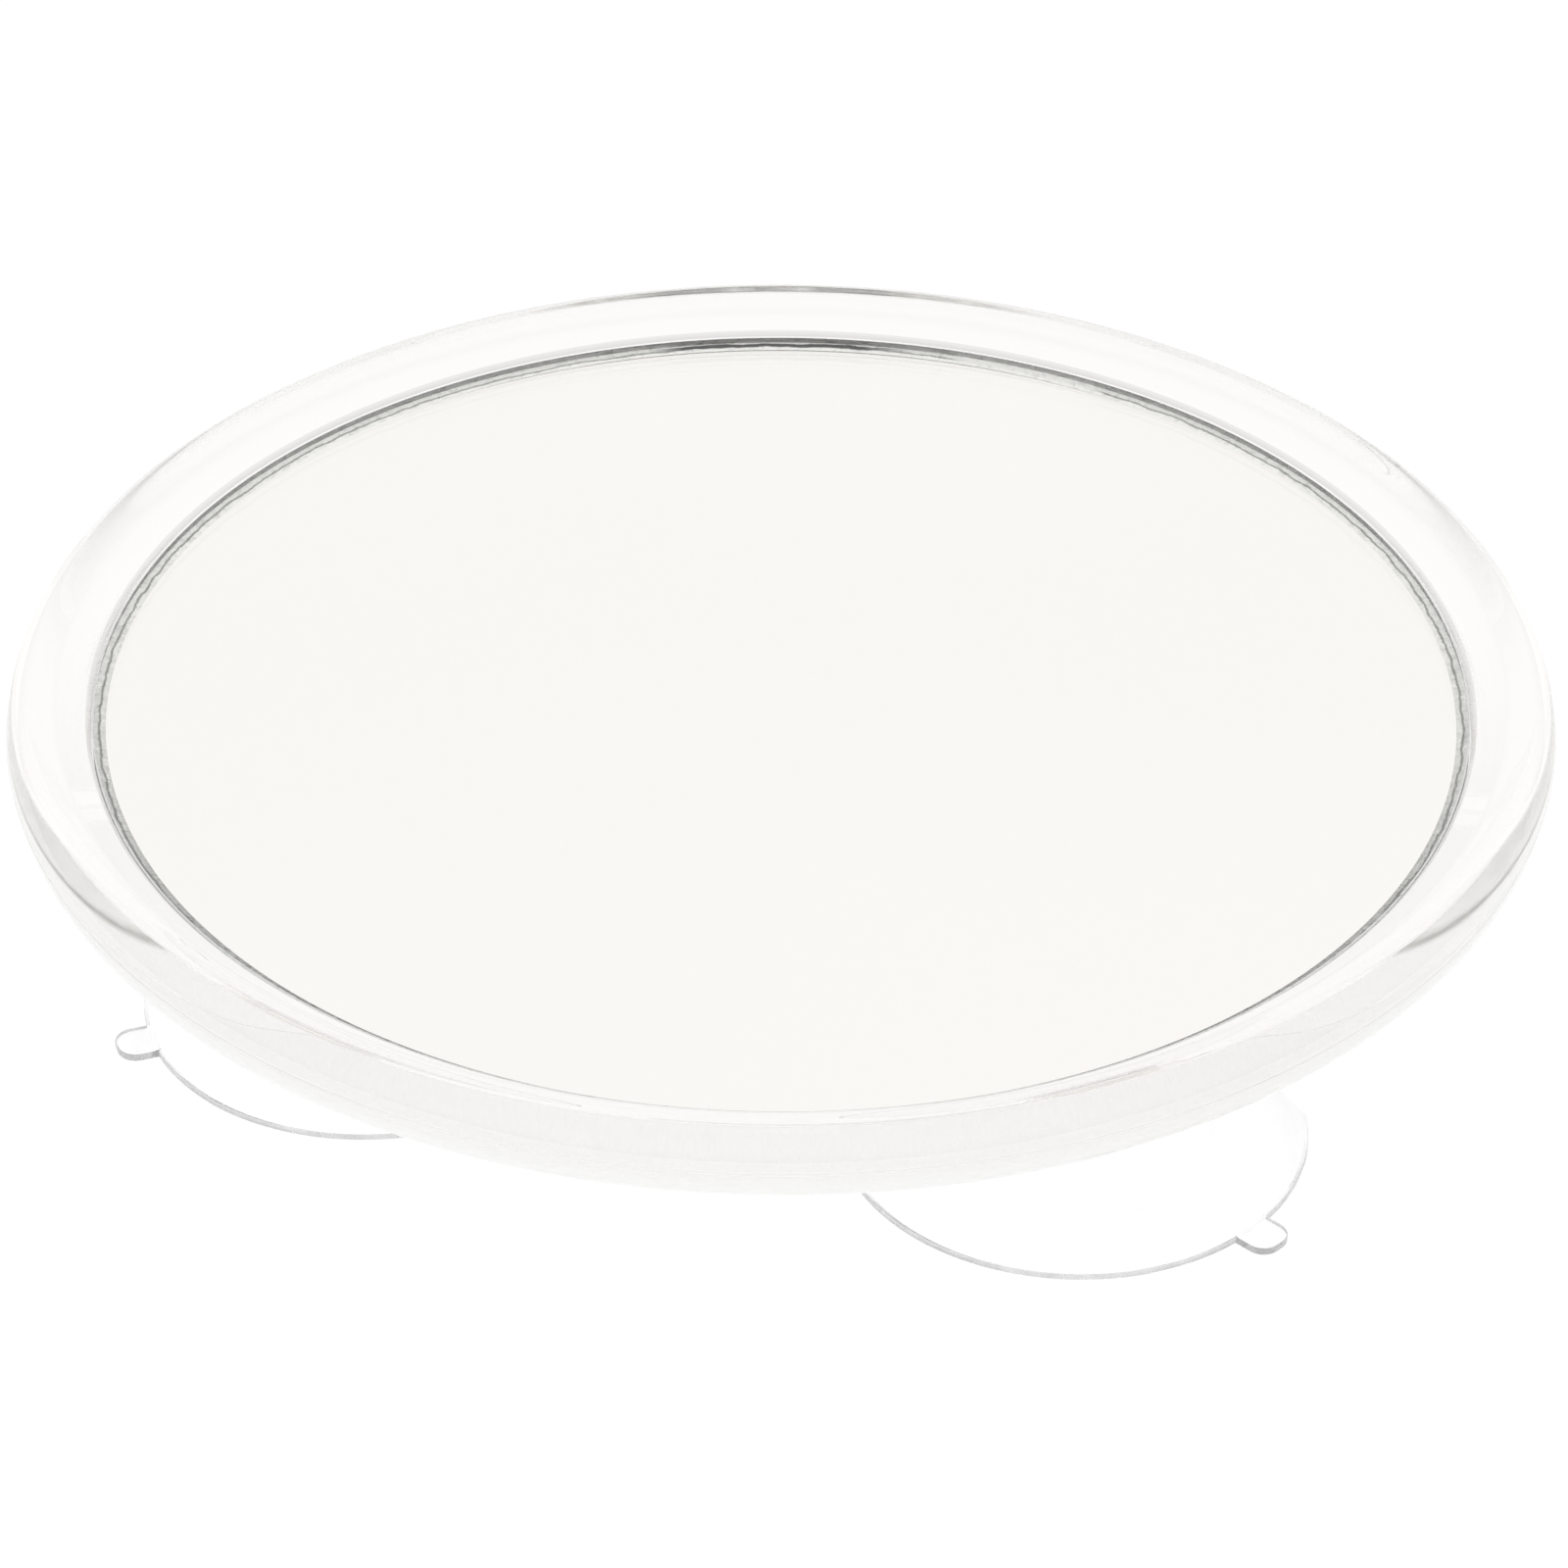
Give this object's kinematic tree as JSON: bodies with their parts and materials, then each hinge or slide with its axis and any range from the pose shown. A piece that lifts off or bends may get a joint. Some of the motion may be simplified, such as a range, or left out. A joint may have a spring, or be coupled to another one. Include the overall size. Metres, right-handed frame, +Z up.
{
  "type": "suction cup mirror",
  "caption": "Round vanity mirror recessed in a clear acrylic dish frame, standing on soft clear suction cups that swivel in wells under the frame.",
  "frame": {"origin": "on the axis of the round rim, in the plane that the suction cups stand on", "axes": "+Z up through the mirror's face, +X to the right and -Y to the front of the pictured view"},
  "size_m": [0.152, 0.152, 0.0342],
  "materials": {
    "clear_acrylic": "clear, polished",
    "mirror_glass": "clear float glass, polished face, ground back edge",
    "silvering": "silvered, pale backing paint underneath",
    "foam_tape": "white foam tape",
    "clear_pvc": "clear, soft, glossy PVC"
  },
  "bodies": {
    "mirror": {"clear_frame": "clear_acrylic", "mirror_glass": "mirror_glass", "mirror_silvering": "silvering", "foam_tape": "foam_tape"},
    "cup_left": {"suction_cup_left": "clear_pvc"},
    "cup_right": {"suction_cup_right": "clear_pvc"},
    "cup_rear": {"suction_cup_rear": "clear_pvc"}
  },
  "joints": [
    {"name": "cup_swivel_left", "type": "hinge", "parent": "mirror", "child": "cup_left", "pos_m": [-0.04061, -0.00945, 0.014], "axis": [0, 0, 1], "continuous": true},
    {"name": "cup_swivel_right", "type": "hinge", "parent": "mirror", "child": "cup_right", "pos_m": [0.02849, -0.03045, 0.014], "axis": [0, 0, 1], "continuous": true},
    {"name": "cup_swivel_rear", "type": "hinge", "parent": "mirror", "child": "cup_rear", "pos_m": [0.01212, 0.0399, 0.014], "axis": [0, 0, 1], "continuous": true}
  ]
}
